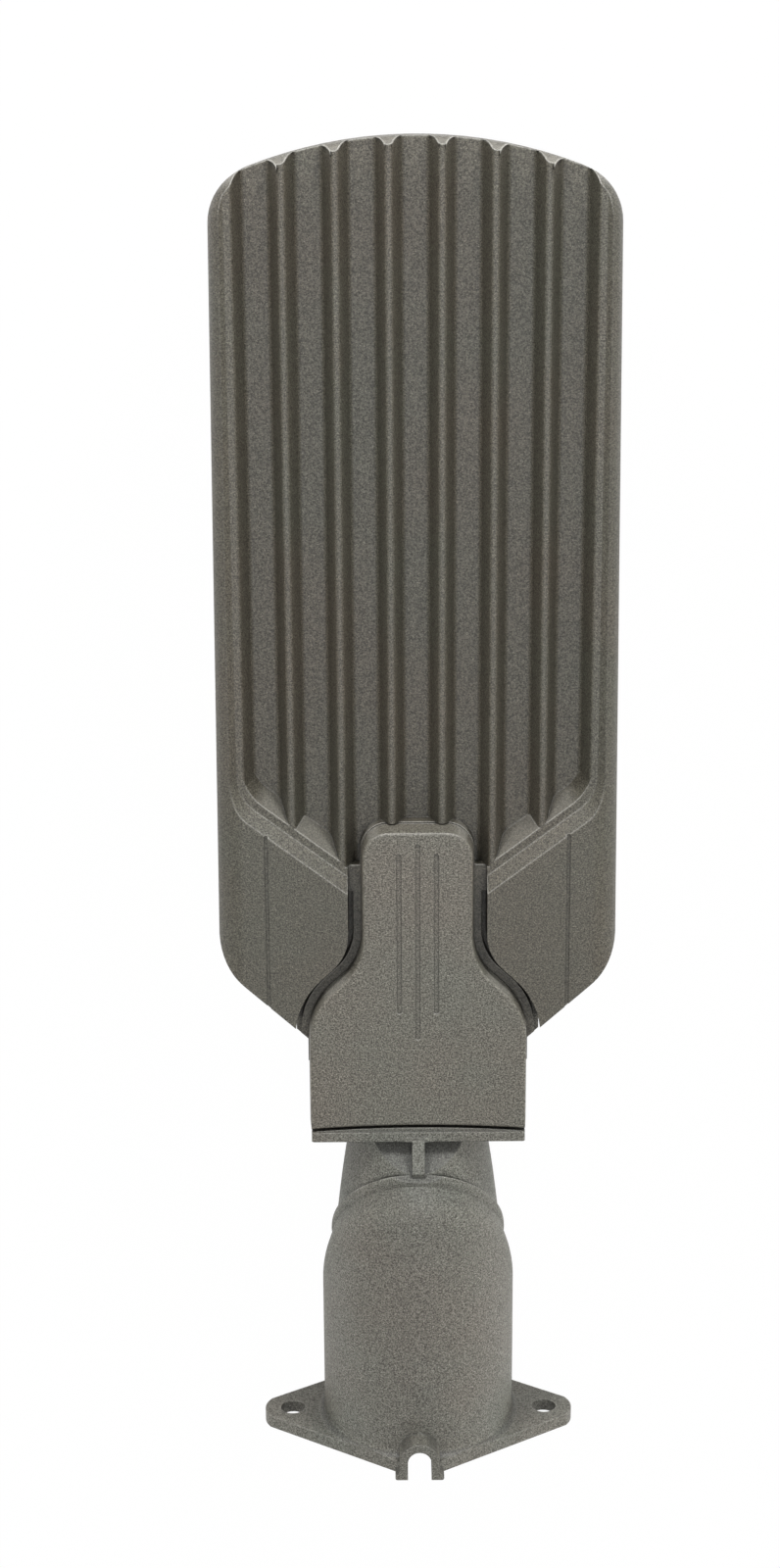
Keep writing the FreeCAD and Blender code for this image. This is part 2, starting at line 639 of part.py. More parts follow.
# The bracket's outside as a turned shape, from the shoulder to the neck's end
def bell():
    end_y = PLATE_Y + FLANGE_THICK
    step_r = BEAD_R - NECK_STEP
    step_y = BEAD_END_Y + NECK_STEP / 2
    bead_foot = vec(BEAD_R - BEAD_SET_IN, BEAD_START_Y)
    bead_top = vec(BEAD_R + BEAD_SWELL, (BEAD_START_Y + BEAD_END_Y) / 2)
    half_turn = math.atan2(SLEEVE_R - bead_foot.x, bead_foot.y - SHOULDER_Y) / 2
    blend_start = vec(SLEEVE_R, SHOULDER_Y - SHOULDER_BLEND)
    blend_end = vec(SLEEVE_R - SHOULDER_BLEND * math.sin(2 * half_turn),
                    SHOULDER_Y + SHOULDER_BLEND * math.cos(2 * half_turn))
    inset = SHOULDER_BLEND / math.tan(half_turn) * (1 / math.cos(half_turn) - 1)
    blend_mid = vec(SLEEVE_R - inset * math.cos(half_turn), SHOULDER_Y - inset * math.sin(half_turn))
    edges = [Part.makeLine(vec(0, 0), vec(SLEEVE_R, 0)),
             Part.makeLine(vec(SLEEVE_R, 0), blend_start),
             Part.Arc(blend_start, blend_mid, blend_end).toShape(),
             Part.makeLine(blend_end, bead_foot),
             Part.Arc(bead_foot, bead_top, vec(BEAD_R, BEAD_END_Y)).toShape(),
             Part.makeLine(vec(BEAD_R, BEAD_END_Y), vec(step_r, step_y)),
             Part.Arc(vec(step_r, step_y), vec(NECK_MID_R, NECK_MID_Y), vec(NECK_END_R, end_y)).toShape(),
             Part.makeLine(vec(NECK_END_R, end_y), vec(0, end_y)),
             Part.makeLine(vec(0, end_y), vec(0, 0))]
    return Part.Face(Part.Wire(edges)).revolve(vec(0, 0), vec(0, 1, 0), 360)


# The upper half leans: each section moves towards the nose by its height
def leaned(shape):
    matrix = FreeCAD.Matrix()
    matrix.A23 = HOOD_SLOPE
    return shape.transformGeometry(matrix)


def ear_outline():
    ear_x = EAR_SPACING / 2
    reach = math.hypot(ear_x, FLANGE_APEX)
    lean = math.asin(EAR_R / reach) + math.atan2(FLANGE_APEX, ear_x)
    touch = vec(ear_x + EAR_R * math.sin(lean), EAR_R * math.cos(lean))
    top = (0, FLANGE_APEX)
    side = vec(touch.x, FLANGE_APEX - touch.y)
    side.normalize()
    foot_y = -FLANGE_APEX + FLANGE_FOOT_R / side.x
    foot = vec(FLANGE_FOOT_R * side.y, foot_y - FLANGE_FOOT_R * side.x)
    edges = [
        Part.makeLine(vec(*top), touch),
        Part.Arc(touch, vec(ear_x + EAR_R, 0), vec(touch.x, -touch.y)).toShape(),
        Part.makeLine(vec(touch.x, -touch.y), foot),
        Part.Arc(foot, vec(0, foot_y - FLANGE_FOOT_R), vec(-foot.x, foot.y)).toShape(),
        Part.makeLine(vec(-foot.x, foot.y), vec(-touch.x, -touch.y)),
        Part.Arc(vec(-touch.x, -touch.y), vec(-ear_x - EAR_R, 0), vec(-touch.x, touch.y)).toShape(),
        Part.makeLine(vec(-touch.x, touch.y), vec(*top)),
    ]
    return Part.Wire(edges)


def make_flange():
    face = Part.Face(ear_outline())
    face.rotate(vec(0, 0), vec(1, 0), 90)
    flange = face.extrude(vec(0, FLANGE_THICK))
    root, top = SLEEVE_R + FLANGE_ROOT_R, FLANGE_THICK + FLANGE_ROOT_R
    on_arc = FLANGE_ROOT_R * math.sqrt(0.5)
    edges = [Part.makeLine(vec(SLEEVE_R - 1, FLANGE_THICK - 1), vec(root, FLANGE_THICK - 1)),
             Part.makeLine(vec(root, FLANGE_THICK - 1), vec(root, FLANGE_THICK)),
             Part.Arc(vec(root, FLANGE_THICK), vec(root - on_arc, top - on_arc),
                      vec(SLEEVE_R, top)).toShape(),
             Part.makeLine(vec(SLEEVE_R, top), vec(SLEEVE_R - 1, top)),
             Part.makeLine(vec(SLEEVE_R - 1, top), vec(SLEEVE_R - 1, FLANGE_THICK - 1))]
    ring = Part.Face(Part.Wire(edges)).revolve(vec(0, 0), vec(0, 1, 0), 360)
    flange = flange.fuse(ring.common(face.extrude(vec(0, top))))
    for x in (-EAR_SPACING / 2, EAR_SPACING / 2):
        flange = flange.cut(cylinder_y(EAR_HOLE_R, x, 0, -1, FLANGE_THICK + 1))
    return flange


# The arch over the lead notch, and the notch itself
def notch_arch(r, z0, z1, flare):
    mid_y = NOTCH_DEPTH - NOTCH_R
    edges = [Part.makeLine(vec(-r, mid_y), vec(-r, FOOT_LENGTH)),
             Part.makeLine(vec(-r, FOOT_LENGTH), vec(-r - flare, 0)),
             Part.makeLine(vec(-r - flare, 0), vec(r + flare, 0)),
             Part.makeLine(vec(r + flare, 0), vec(r, FOOT_LENGTH)),
             Part.makeLine(vec(r, FOOT_LENGTH), vec(r, mid_y)),
             Part.Arc(vec(r, mid_y), vec(0, mid_y + r), vec(-r, mid_y)).toShape()]
    face = Part.Face(Part.Wire(edges))
    face.translate(vec(0, 0, z0))
    return face.extrude(vec(0, 0, z1 - z0))


def make_bracket():
    turned = bell()
    upper = leaned(turned.common(box(-FAR, FAR, -FAR, FAR, 0, FAR)))
    lower = turned.common(box(-FAR, FAR, -FAR, FAR, -FAR, 0))
    keep = box(-FAR, FAR, 0, PLATE_Y + PLATE_THICK / 2, -FAR, FAR)
    sleeve = cylinder_y(SLEEVE_R, 0, 0, 0, SHOULDER_Y - SHOULDER_BLEND)
    body = upper.common(keep).fuse([lower.common(keep), sleeve])
    rim_y = BEAD_END_Y + HOOD_SLOPE * BEAD_R
    pocket = Part.Wire(Part.makePolygon([
        vec(0, PLATE_Y - NECK_POCKET_RUN, BEAD_R), vec(0, PLATE_Y, NECK_POCKET_FLOOR), vec(0, PLATE_Y, FAR),
        vec(0, PLATE_Y - NECK_POCKET_RUN, FAR), vec(0, PLATE_Y - NECK_POCKET_RUN, BEAD_R)]))
    pocket.translate(vec(-NECK_POCKET_HALF, 0))
    body = body.cut(Part.Face(pocket).extrude(vec(2 * NECK_POCKET_HALF, 0)))
    rib_y = rim_y - NECK_STEP
    side = Part.Wire(Part.makePolygon([
        vec(0, rib_y, 0), vec(0, rib_y, BEAD_R - NECK_RIB_HEIGHT / 2), vec(0, rim_y, BEAD_R),
        vec(0, PLATE_Y + 1, PLATE_HALF_HEIGHT + NECK_RIB_HEIGHT), vec(0, PLATE_Y + 1, 0), vec(0, rib_y, 0)]))
    side.translate(vec(-NECK_RIB_WIDTH / 2, 0))
    body = body.fuse(Part.Face(side).extrude(vec(NECK_RIB_WIDTH, 0)))

    half, high = BODY_HALF, PLATE_HALF_HEIGHT
    flat = prism_y([(half, -high, PLATE_CORNER_R), (half, high, PLATE_EDGE_R),
                    (-half, high, PLATE_EDGE_R), (-half, -high, PLATE_CORNER_R)],
                   PLATE_Y, PLATE_Y + PLATE_THICK)
    lip_edges = [Part.makeLine(vec(-BODY_HALF, PLATE_Y + 1), vec(BODY_HALF, PLATE_Y + 1)),
                 Part.makeLine(vec(BODY_HALF, PLATE_Y + 1), vec(BODY_HALF, PLATE_Y + PLATE_THICK)),
                 Part.Arc(vec(BODY_HALF, PLATE_Y + PLATE_THICK),
                          vec(0, PLATE_Y + PLATE_THICK + PLATE_CROWN),
                          vec(-BODY_HALF, PLATE_Y + PLATE_THICK)).toShape(),
                 Part.makeLine(vec(-BODY_HALF, PLATE_Y + PLATE_THICK), vec(-BODY_HALF, PLATE_Y + 1))]
    lip = Part.Face(Part.Wire(lip_edges))
    lip.translate(vec(0, 0, COVER_Z))
    lip = lip.extrude(vec(0, 0, PLATE_HALF_HEIGHT - PLATE_EDGE_R - COVER_Z))
    boss = notch_arch(NOTCH_R + NOTCH_WALL, BORE_R + 1, FLANGE_APEX, FOOT_FLARE)
    feet = [e for e in boss.Edges if all(abs(v.Y) < 1e-4 and abs(v.X) > NOTCH_R + NOTCH_WALL + 1e-4
                                         for v in e.Vertexes)]
    boss = boss.makeFillet(FOOT_R, [e for e in feet if e.BoundBox.ZLength > 1])
    body = body.fuse([flat, lip, make_flange(), boss])

    body = body.cut(cylinder_y(BORE_R, 0, 0, -1, BORE_DEPTH))
    way_r = NECK_END_R - NECK_WALL
    body = body.cut(cylinder_y(way_r, 0, 0, BORE_DEPTH - 1, PLATE_Y + FAR / 4))
    body = body.cut(notch_arch(NOTCH_R, BORE_R - NOTCH_R, FLANGE_APEX + 1, 0))
    for x, z in bracket_bolt_places():
        body = body.cut(cylinder_y(M6[0], x, z, PLATE_Y - 1, PLATE_Y + PLATE_THICK + 1))
    for y in set_screw_places():
        body = body.cut(cylinder_z(M8_R, 0, y, -SLEEVE_R - 1, 0))
    return body.removeSplitter()


def set_screw_places():
    return [BORE_DEPTH * share for share in SET_SCREWS_AT]


def make_set_screws():
    socket_r = M8_R / 2
    screws = []
    for y in set_screw_places():
        screw = cylinder_z(M8_R, 0, y, -SLEEVE_R, -BORE_R - FIT_GAP)
        screws.append(screw.cut(cylinder_z(socket_r, 0, y, -SLEEVE_R - 1, -SLEEVE_R + SLEEVE_WALL / 2)))
    return Part.makeCompound(screws)


def make_bracket_gasket():
    half, low, top = BODY_HALF - GASKET_MARGIN, GEAR_BOTTOM_Z + BRACKET_SEAL_LOW, PAD_Z - BRACKET_SEAL_TOP
    r = BRACKET_SEAL_R
    gasket = prism_y([(half, low, r), (half, top, r), (-half, top, r), (-half, low, r)],
                     PLATE_Y + PLATE_THICK, TAIL_END_Y)
    for x, z in bracket_bolt_places():
        gasket = gasket.cut(cylinder_y(M6[0] + HOLE_CLEARANCE, x, z, PLATE_Y, TAIL_END_Y + 1))
    return gasket.cut(cylinder_y(BRACKET_SEAL_BORE, 0, 0, PLATE_Y, TAIL_END_Y + 1))


# A screw pointing up from its head, and one pointing towards the pole
def screw_up(size, x, y, z, length):
    r, head_r, head_h = size
    head = cylinder_z(head_r, x, y, z, z + head_h)
    socket = cylinder_z(r * SOCKET_SHARE, x, y, z - 1, z + head_h * SOCKET_SHARE)
    return head.fuse(cylinder_z(r, x, y, z + head_h, z + head_h + length)).cut(socket)


def screw_down(size, x, y, z, length):
    screw = screw_up(size, 0, 0, 0, length)
    screw.rotate(vec(0, 0), vec(1, 0), 180)
    screw.translate(vec(x, y, z))
    return screw


def make_cover_screws():
    start = GEAR_BOTTOM_Z + HOLE_CLEARANCE
    length = COVER_TOP_Z - COVER_WALL - SCREW_SHORT - start - M4[2]
    return Part.makeCompound([screw_up(M4, x, y, start, length) for x, y in cover_screw_places()])


def make_bracket_bolts():
    r, head_r, head_h = M6
    inner = TAIL_END_Y + TAIL_WALL
    bolts = []
    for x, z in bracket_bolt_places():
        hexagon = [(x + head_r * math.cos(math.radians(a)), z + head_r * math.sin(math.radians(a)), 0)
                   for a in range(0, 360, 60)]
        head = prism_y(hexagon, inner, inner + head_h)
        bolts.append(head.fuse(cylinder_y(r, x, z, PLATE_Y, inner)))
    return Part.makeCompound(bolts)


# Light chamber: pad, board, chips, lens panel, seal and screws
def make_thermal_pad():
    inset = LIP_WALL + SEAT_WIDTH + BOARD_GAP + PAD_SET_IN
    pad = chamber_prism(inset, BASE_Z - PAD_THICK, BASE_Z)
    for x, y in board_screw_places():
        pad = pad.cut(cylinder_z(M3[0] + HOLE_CLEARANCE, x, y, BASE_Z - PAD_THICK - 1, BASE_Z + 1))
    return pad


def make_led_board():
    top = BASE_Z - PAD_THICK
    board = chamber_prism(LIP_WALL + SEAT_WIDTH + BOARD_GAP, top - BOARD_THICK, top)
    for x, y in board_screw_places():
        board = board.cut(cylinder_z(M3[0] + HOLE_CLEARANCE, x, y, top - BOARD_THICK - 1, top + 1))
    return board


def make_led_chips():
    top = BASE_Z - PAD_THICK - BOARD_THICK
    half = LED_SIZE / 2
    return Part.makeCompound([box(x - half, x + half, y - half, y + half, top - LED_HEIGHT, top)
                              for x, y in led_places()])


def make_board_screws():
    z = BASE_Z - PAD_THICK - BOARD_THICK - M3[2]
    length = PAD_THICK + BOARD_THICK + BASE_THICK / 2 - SCREW_SHORT
    return Part.makeCompound([screw_up(M3, x, y, z, length) for x, y in board_screw_places()])


def make_lens_gasket():
    outer = chamber_prism(LIP_WALL + LENS_GAP + LENS_SEAL_MARGIN, SEAT_Z - GASKET_THICK, SEAT_Z)
    inner = chamber_prism(LIP_WALL + SEAT_WIDTH - LENS_SEAL_MARGIN, SEAT_Z - GASKET_THICK - 1, SEAT_Z + 1)
    ring = outer.cut(inner)
    for x, y in lens_screw_places():
        ring = ring.cut(cylinder_z(M3[0] + HOLE_CLEARANCE, x, y, SEAT_Z - GASKET_THICK - 1, SEAT_Z + 1))
    return ring


# One lens: a dome under the plate, with a pocket above for its chip
def lens_dome(x, y, z):
    r = (LENS_DOME_R ** 2 + LENS_DOME_HEIGHT ** 2) / (2 * LENS_DOME_HEIGHT)
    ball = Part.makeSphere(r, vec(x, y, z - LENS_DOME_HEIGHT + r))
    return ball.common(box(x - r, x + r, y - r, y + r, z - LENS_DOME_HEIGHT - 1, z + DOME_ROOT))


def make_lens_panel():
    top = SEAT_Z - GASKET_THICK
    panel = chamber_prism(LIP_WALL + LENS_GAP, top - LENS_PLATE, top)
    panel = panel.fuse([lens_dome(x, y, top - LENS_PLATE) for x, y in led_places()])
    pockets = [cylinder_z(LENS_POCKET_R, x, y, top - LENS_POCKET_DEPTH, top + 1) for x, y in led_places()]
    panel = panel.cut(Part.makeCompound(pockets))
    for x, y in lens_screw_places():
        panel = panel.cut(cylinder_z(M3[0] + HOLE_CLEARANCE, x, y, top - LENS_PLATE - 1, top + 1))
    return panel


def make_lens_screws():
    z = SEAT_Z - GASKET_THICK - LENS_PLATE - M3[2]
    length = LENS_PLATE + GASKET_THICK + BASE_THICK - SCREW_SHORT
    return Part.makeCompound([screw_up(M3, x, y, z, length) for x, y in lens_screw_places()])


def make_board_connector():
    top = BASE_Z - PAD_THICK - BOARD_THICK
    y = LED_MID_Y - LED_ROWS / 2 * LED_PITCH_Y
    wide, long, high = CONNECTOR_SIZE
    return box(-wide / 2, wide / 2, y - long / 2, y + long / 2, top - high, top)


# Gear compartment contents
def driver_screw_places():
    long = DRIVER_SIZE[1]
    reach = DRIVER_FOOT / 2
    return [(0, DRIVER_START_Y - reach), (0, DRIVER_START_Y + long + reach)]


def make_driver():
    wide, long, high = DRIVER_SIZE
    z = GEAR_FLOOR_Z
    body = box(-wide / 2, wide / 2, DRIVER_START_Y, DRIVER_START_Y + long, z, z + high)
    body = body.makeFillet(CASE_EDGE_R, [e for e in body.Edges if is_upright(e, 0, FAR * 2)])
    foot_half = DRIVER_FOOT_WIDTH / 2
    foot_start, foot_end = DRIVER_START_Y - DRIVER_FOOT, DRIVER_START_Y + long + DRIVER_FOOT
    body = body.fuse(box(-foot_half, foot_half, foot_start, foot_end, z, z + DRIVER_FOOT_THICK))
    for x, y in driver_screw_places():
        body = body.cut(cylinder_z(M3[0] + HOLE_CLEARANCE, x, y, z - 1, z + DRIVER_FOOT_THICK + 1))
    return body


def make_driver_screws():
    z = GEAR_FLOOR_Z + DRIVER_FOOT_THICK + M3[2]
    length = DRIVER_FOOT_THICK + DRIVER_SCREW_DEPTH
    return Part.makeCompound([screw_down(M3, x, y, z, length) for x, y in driver_screw_places()])


def make_surge_protector():
    wide, long, high = SURGE_SIZE
    x, z = -BLOCK_X, GEAR_FLOOR_Z
    body = box(x - wide / 2, x + wide / 2, BLOCK_START_Y, BLOCK_START_Y + long, z, z + high)
    return body.makeFillet(CASE_EDGE_R, [e for e in body.Edges if is_upright(e, 0, FAR)])


def terminal_places():
    pole = BLOCK_SIZE[1] / TERMINAL_COUNT
    return [(BLOCK_X - TERMINAL_SET_IN, BLOCK_START_Y + pole * (k + 0.5)) for k in range(TERMINAL_COUNT)]


def make_terminal_block():
    wide, long, high = BLOCK_SIZE
    z = GEAR_FLOOR_Z
    body = box(BLOCK_X - wide / 2, BLOCK_X + wide / 2, BLOCK_START_Y, BLOCK_START_Y + long, z, z + high)
    for x, y in terminal_places():
        body = body.cut(cylinder_z(M3[0] + HOLE_CLEARANCE, x, y, z + high - TERMINAL_DEPTH, z + high + 1))
    return body


def make_terminal_screws():
    z = GEAR_FLOOR_Z + BLOCK_SIZE[2]
    screws = []
    for x, y in terminal_places():
        screw = cylinder_z(M3[0], x, y, z - TERMINAL_DEPTH, z - TERMINAL_SINK)
        screws.append(screw.cut(box(x - M3[0], x + M3[0], y - SLOT_HALF, y + SLOT_HALF,
                                    z - TERMINAL_SINK - SLOT_DEPTH, z)))
    return Part.makeCompound(screws)


def make_cable_grommet():
    inner = TAIL_END_Y + TAIL_WALL
    body = cylinder_y(CABLE_HOLE_R, 0, CABLE_Z, TAIL_END_Y, inner)
    body = body.fuse(cylinder_y(CABLE_HOLE_R + GROMMET_RIM, 0, CABLE_Z, inner, inner + GROMMET_RIM_THICK))
    return body.cut(cylinder_y(CABLE_R, 0, CABLE_Z, TAIL_END_Y - 1, inner + GROMMET_RIM_THICK + 1))


def clamp_screw_places():
    return [(sx * CLAMP_POST_X, CLAMP_Y + CLAMP_WIDTH / 2) for sx in (-1, 1)]


# The strap that holds the cable down, over two posts cast into the floor
def make_cable_clamp():
    low = CABLE_Z
    ear = CLAMP_POST_X + CLAMP_POST_R
    y1 = CLAMP_Y + CLAMP_WIDTH
    strap = box(-ear, ear, CLAMP_Y, y1, low, low + CLAMP_STRAP)
    strap = strap.fuse(cylinder_y(CABLE_R + CLAMP_STRAP, 0, low, CLAMP_Y, y1))
    strap = strap.cut(cylinder_y(CABLE_R, 0, low, CLAMP_Y - 1, y1 + 1))
    strap = strap.cut(box(-ear, ear, CLAMP_Y - 1, y1 + 1, low - FAR, low))
    for x, y in clamp_screw_places():
        strap = strap.cut(cylinder_z(M3[0] + HOLE_CLEARANCE, x, y, low - 1, low + CLAMP_STRAP + 1))
    return strap


def make_clamp_screws():
    z = CABLE_Z + CLAMP_STRAP + M3[2]
    length = CLAMP_STRAP + CLAMP_SCREW_DEPTH
    return Part.makeCompound([screw_down(M3, x, y, z, length) for x, y in clamp_screw_places()])


# Earth screw with its washer, in a boss on the floor
def make_earth_screw():
    z = GEAR_FLOOR_Z + EARTH_BOSS
    top = z + EARTH_WASHER
    washer = cylinder_z(EARTH_WASHER_R, EARTH_X, EARTH_Y, z, top)
    return screw_down(M4, EARTH_X, EARTH_Y, top + M4[2], EARTH_BOSS).fuse(washer)


def make_vent_plug():
    head = cylinder_z(VENT_HEAD_R, VENT_X, VENT_Y, GEAR_BOTTOM_Z - VENT_HEAD, GEAR_BOTTOM_Z)
    return head.fuse(cylinder_z(VENT_R, VENT_X, VENT_Y, GEAR_BOTTOM_Z, GEAR_FLOOR_Z + 1))


PIECES = {
    "housing": make_housing,
    "gear_cover": make_gear_cover,
    "gear_cover_gasket": make_cover_gasket,
    "cover_screws": make_cover_screws,
    "pole_bracket": make_bracket,
    "bracket_gasket": make_bracket_gasket,
    "bracket_bolts": make_bracket_bolts,
    "pole_set_screws": make_set_screws,
    "thermal_pad": make_thermal_pad,
    "led_board": make_led_board,
    "led_chips": make_led_chips,
    "board_screws": make_board_screws,
    "board_connector": make_board_connector,
    "lens_gasket": make_lens_gasket,
    "lens_panel": make_lens_panel,
    "lens_screws": make_lens_screws,
    "led_driver": make_driver,
    "driver_screws": make_driver_screws,
    "surge_protector": make_surge_protector,
    "terminal_block": make_terminal_block,
    "terminal_screws": make_terminal_screws,
    "cable_grommet": make_cable_grommet,
    "cable_clamp": make_cable_clamp,
    "clamp_screws": make_clamp_screws,
    "earth_screw": make_earth_screw,
    "vent_plug": make_vent_plug,
}

os.makedirs("parts", exist_ok=True)
for name, make in PIECES.items():
    shape = make()
    print(name, "valid" if shape.isValid() else "NOT VALID", len(shape.Solids), round(shape.Volume))
    shape.exportStep("parts/" + name + ".step")
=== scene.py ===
import json
import math
import bmesh
import bpy
from mathutils import Matrix, Vector


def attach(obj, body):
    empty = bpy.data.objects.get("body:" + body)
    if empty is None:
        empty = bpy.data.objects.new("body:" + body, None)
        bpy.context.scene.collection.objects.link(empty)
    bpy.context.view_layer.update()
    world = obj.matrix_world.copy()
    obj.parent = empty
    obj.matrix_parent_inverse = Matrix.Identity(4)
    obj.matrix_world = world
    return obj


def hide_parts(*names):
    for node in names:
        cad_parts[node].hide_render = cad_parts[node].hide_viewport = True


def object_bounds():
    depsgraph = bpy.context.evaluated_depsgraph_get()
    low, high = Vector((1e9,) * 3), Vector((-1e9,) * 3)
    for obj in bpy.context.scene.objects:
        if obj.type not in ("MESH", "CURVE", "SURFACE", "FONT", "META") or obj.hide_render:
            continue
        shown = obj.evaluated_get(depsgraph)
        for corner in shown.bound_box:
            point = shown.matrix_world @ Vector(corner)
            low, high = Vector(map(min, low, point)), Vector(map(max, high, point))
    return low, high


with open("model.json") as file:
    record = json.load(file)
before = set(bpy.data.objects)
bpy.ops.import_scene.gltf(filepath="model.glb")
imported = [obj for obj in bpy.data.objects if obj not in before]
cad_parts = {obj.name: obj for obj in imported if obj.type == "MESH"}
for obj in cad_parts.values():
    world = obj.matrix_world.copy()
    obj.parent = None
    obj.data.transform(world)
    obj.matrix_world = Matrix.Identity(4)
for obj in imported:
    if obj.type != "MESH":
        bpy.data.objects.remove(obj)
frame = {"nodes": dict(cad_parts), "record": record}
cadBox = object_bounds()
print("lamp loaded")


class Wire:  # one socket, so that sums on it add their own Math nodes
    def __init__(self, finish, socket):
        self.finish, self.socket = finish, socket

    def maths(self, operation, other, flipped=False):
        first, second = (other, self) if flipped else (self, other)
        return self.finish.node("ShaderNodeMath", {"operation": operation}, {0: first, 1: second})

    def __add__(self, other): return self.maths("ADD", other)
    def __radd__(self, other): return self.maths("ADD", other)
    def __sub__(self, other): return self.maths("SUBTRACT", other)
    def __rsub__(self, other): return self.maths("SUBTRACT", other, True)
    def __mul__(self, other): return self.maths("MULTIPLY", other)
    def __rmul__(self, other): return self.maths("MULTIPLY", other)


class Finish:  # a material, or the world, and one way to add any node to it
    def __init__(self, owner):
        owner.use_nodes = True
        self.owner, self.tree = owner, owner.node_tree

    def node(self, kind, settings=None, inputs=None, output=0):
        made = self.tree.nodes.new(kind)
        for name, value in (settings or {}).items():
            setattr(made, name, value)
        for name, value in (inputs or {}).items():
            if isinstance(value, Wire):
                self.tree.links.new(value.socket, made.inputs[name])
            else:
                made.inputs[name].default_value = value
        return Wire(self, made.outputs[output]) if output is not None else None

    def skin(self, **values):
        shader = self.tree.nodes["Principled BSDF"]
        for name, value in values.items():
            socket = shader.inputs[name.replace("_", " ")]
            if isinstance(value, Wire):
                self.tree.links.new(value.socket, socket)
            else:
                socket.default_value = value

    def noise(self, scale, detail=2.0, rough=0.5):
        place = self.node("ShaderNodeTexCoord", output="Object")  # so that the grain stays on its piece
        return self.node("ShaderNodeTexNoise", {}, {"Vector": place, "Scale": scale,
                                                   "Detail": detail, "Roughness": rough}, "Fac")

    def blend(self, factor, first, second, how="MIX"):
        return self.node("ShaderNodeMix", {"data_type": "RGBA", "blend_type": how},
                         {0: factor, 6: first, 7: second}, 2)

    def times(self, colour, other):
        return self.blend(1.0, colour, other, "MULTIPLY")

    def darken(self, colour, kept, least):  # down to the share `least` where kept is 0
        return self.times(colour, self.blend(kept, (least, least, least, 1), (1, 1, 1, 1)))

    def ramp(self, value, low, high):
        return self.node("ShaderNodeMapRange", {"clamp": True},
                         {"Value": value, "From Min": low, "From Max": high})

    def bump(self, height, depth, over=None):
        inputs = {"Height": height, "Distance": depth, "Strength": 1.0}
        if over:
            inputs["Normal"] = over
        return self.node("ShaderNodeBump", {}, inputs)

    def rounded(self, radius):
        return self.node("ShaderNodeBevel", {"samples": 8}, {"Radius": radius})

    def openness(self, reach):  # 1 on open faces, lower in recesses
        return self.node("ShaderNodeAmbientOcclusion", {"samples": 6}, {"Distance": reach}, "AO")

    def noseward(self, normal):  # 1 where a face looks straight to the nose
        return self.node("ShaderNodeSeparateXYZ", {}, {"Vector": normal}, "Y")


class Grower(Finish):  # a geometry tree, which takes its nodes in the same way
    def __init__(self, tree):
        self.owner = self.tree = tree


def finishNamed(name):
    return Finish(bpy.data.materials.new(name))


# Powder coat: a crinkled sandy skin of dark pits and paler grains, with pale specks painted as glints, over
# soft brown and green patches.
# Painted light: edges turn paler, a little on every edge as wear and more as a painted highlight where they
# face the nose lamps; slopes that look to the nose get a painted sheen; recesses and creases get painted
# shade.
coat = {"pit": (0.044, 0.040, 0.032, 1), "grain": (0.234, 0.230, 0.206, 1), "glint": (0.62, 0.61, 0.56, 1),
        "brown": (1.04, 0.98, 0.94, 1), "green": (0.98, 1.005, 0.97, 1), "wearAndHighlight": (0.42, 0.41, 0.375, 1),
        "grainNoise": (1700, 3.0, 0.62), "fineNoise": (2900, 2.0, 0.5), "patchNoise": (22, 3.0, 0.55),
        "grainShare": 0.72, "toneSpan": 0.14, "glintFrom": (0.62, 0.74), "glintShare": 0.8,
        "patchFrom": (0.35, 0.65), "grainDepth": 0.00022, "roughness": 0.52, "smoother": 0.12,
        "edgeRound": 0.0004, "edgeReach": 0.0009, "edgeLean": (0.002, 0.016), "edgeHighlightFacing": (0.08, 0.40),
        "edgeLeast": 0.08, "edgeShare": 0.40, "cornerReach": 0.0012, "cornerFrom": (0.72, 0.90),
        "front": (0.86, 0.96), "noseLitFrom": (0.6, 0.75), "noseLitShare": 0.7, "hiddenFrom": (0.3, 0.6),
        "paintedShadeFrom": 0.05, "paintedShadeDark": 0.38, "noseSheenFrom": (0.56, 0.72), "noseSheenShare": 0.22,
        "creaseShadeFrom": (0.45, 0.88), "creaseShadeDark": 0.62}

# contrast: how sharply grains stand against pits; rim: how much edge wear, painted edge highlights, and the
# painted sheen and light on nose-facing slopes stand out
# hidden: how much painted shade slopes that lean partly to the nose get, as recesses do; reach: how far the
# painted shade of recesses spreads; full: how open a face is when it shows its whole colour
# The castings wear one coat in three shades: part of the difference is painted light, the bracket lit more
# than the head.
coats = {"powderCoat": {"shade": (0.80, 0.81, 0.80), "contrast": 1.4, "rim": 0.2, "reach": 0.032,
                        "full": 0.95, "hidden": 0.6},
         "powderCoatHead": {"shade": (0.465, 0.445, 0.395), "contrast": 1.5, "rim": 0.75},
         "powderCoatCover": {"shade": (0.76, 0.745, 0.71), "contrast": 1.6}}


